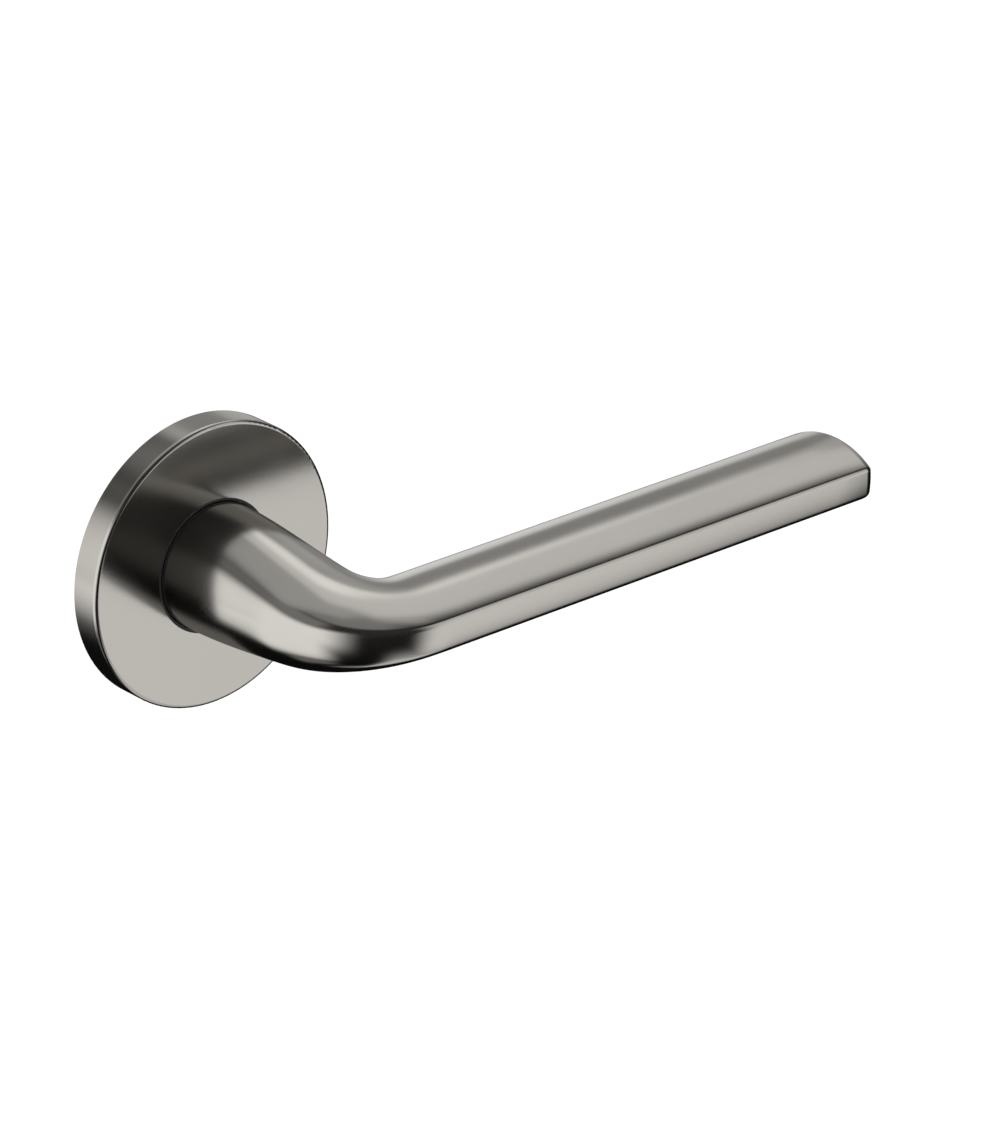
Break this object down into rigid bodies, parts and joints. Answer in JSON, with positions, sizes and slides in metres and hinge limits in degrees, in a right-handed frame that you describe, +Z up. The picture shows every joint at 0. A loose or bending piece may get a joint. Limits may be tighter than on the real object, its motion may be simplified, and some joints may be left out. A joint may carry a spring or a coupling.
{
  "type": "door lever handle",
  "caption": "Sprung lever handle for one side of a door, on a slim round rose with a concealed fixing base and a square spindle.",
  "frame": {"origin": "centre of the rose on the door's surface, on the spindle axis", "axes": "+Z up, +X along the lever away from the spindle, -Y out of the door towards the user, +Y into the door"},
  "size_m": [0.1392, 0.0707, 0.052],
  "materials": {
    "satin_nickel": "satin dark nickel over a zinc alloy casting",
    "steel": "zinc plated",
    "dark_steel": "black oxide spring steel",
    "nylon": "black moulded nylon",
    "pale_nylon": "natural acetal",
    "zinc": "as-cast zinc alloy"
  },
  "bodies": {
    "rose": {"rose_cover": "satin_nickel", "neck_guide_ring": "nylon", "support_plate": "steel", "nylon_carrier": "nylon", "threaded_pillars": "steel", "cover_snap_ring": "dark_steel", "neck_bush": "pale_nylon", "thrust_washer": "steel", "spring_housing": "zinc", "return_spring": "dark_steel", "stop_pins": "steel", "rotor_bush": "pale_nylon", "housing_cover": "steel", "housing_screws": "steel"},
    "lever_assembly": {"lever": "satin_nickel", "grub_screw": "dark_steel", "spindle": "steel", "circlip": "dark_steel", "disc_spring_washer": "dark_steel", "rotor": "zinc"}
  },
  "joints": [
    {"name": "lever_turn", "type": "hinge", "parent": "rose", "child": "lever_assembly", "pos_m": [0, 0, 0], "axis": [0, 1, 0], "range_deg": [0, 45], "stiffness_Nm_per_rad": 0.8, "springref_deg": -45.84, "deforming": ["return_spring"]}
  ]
}
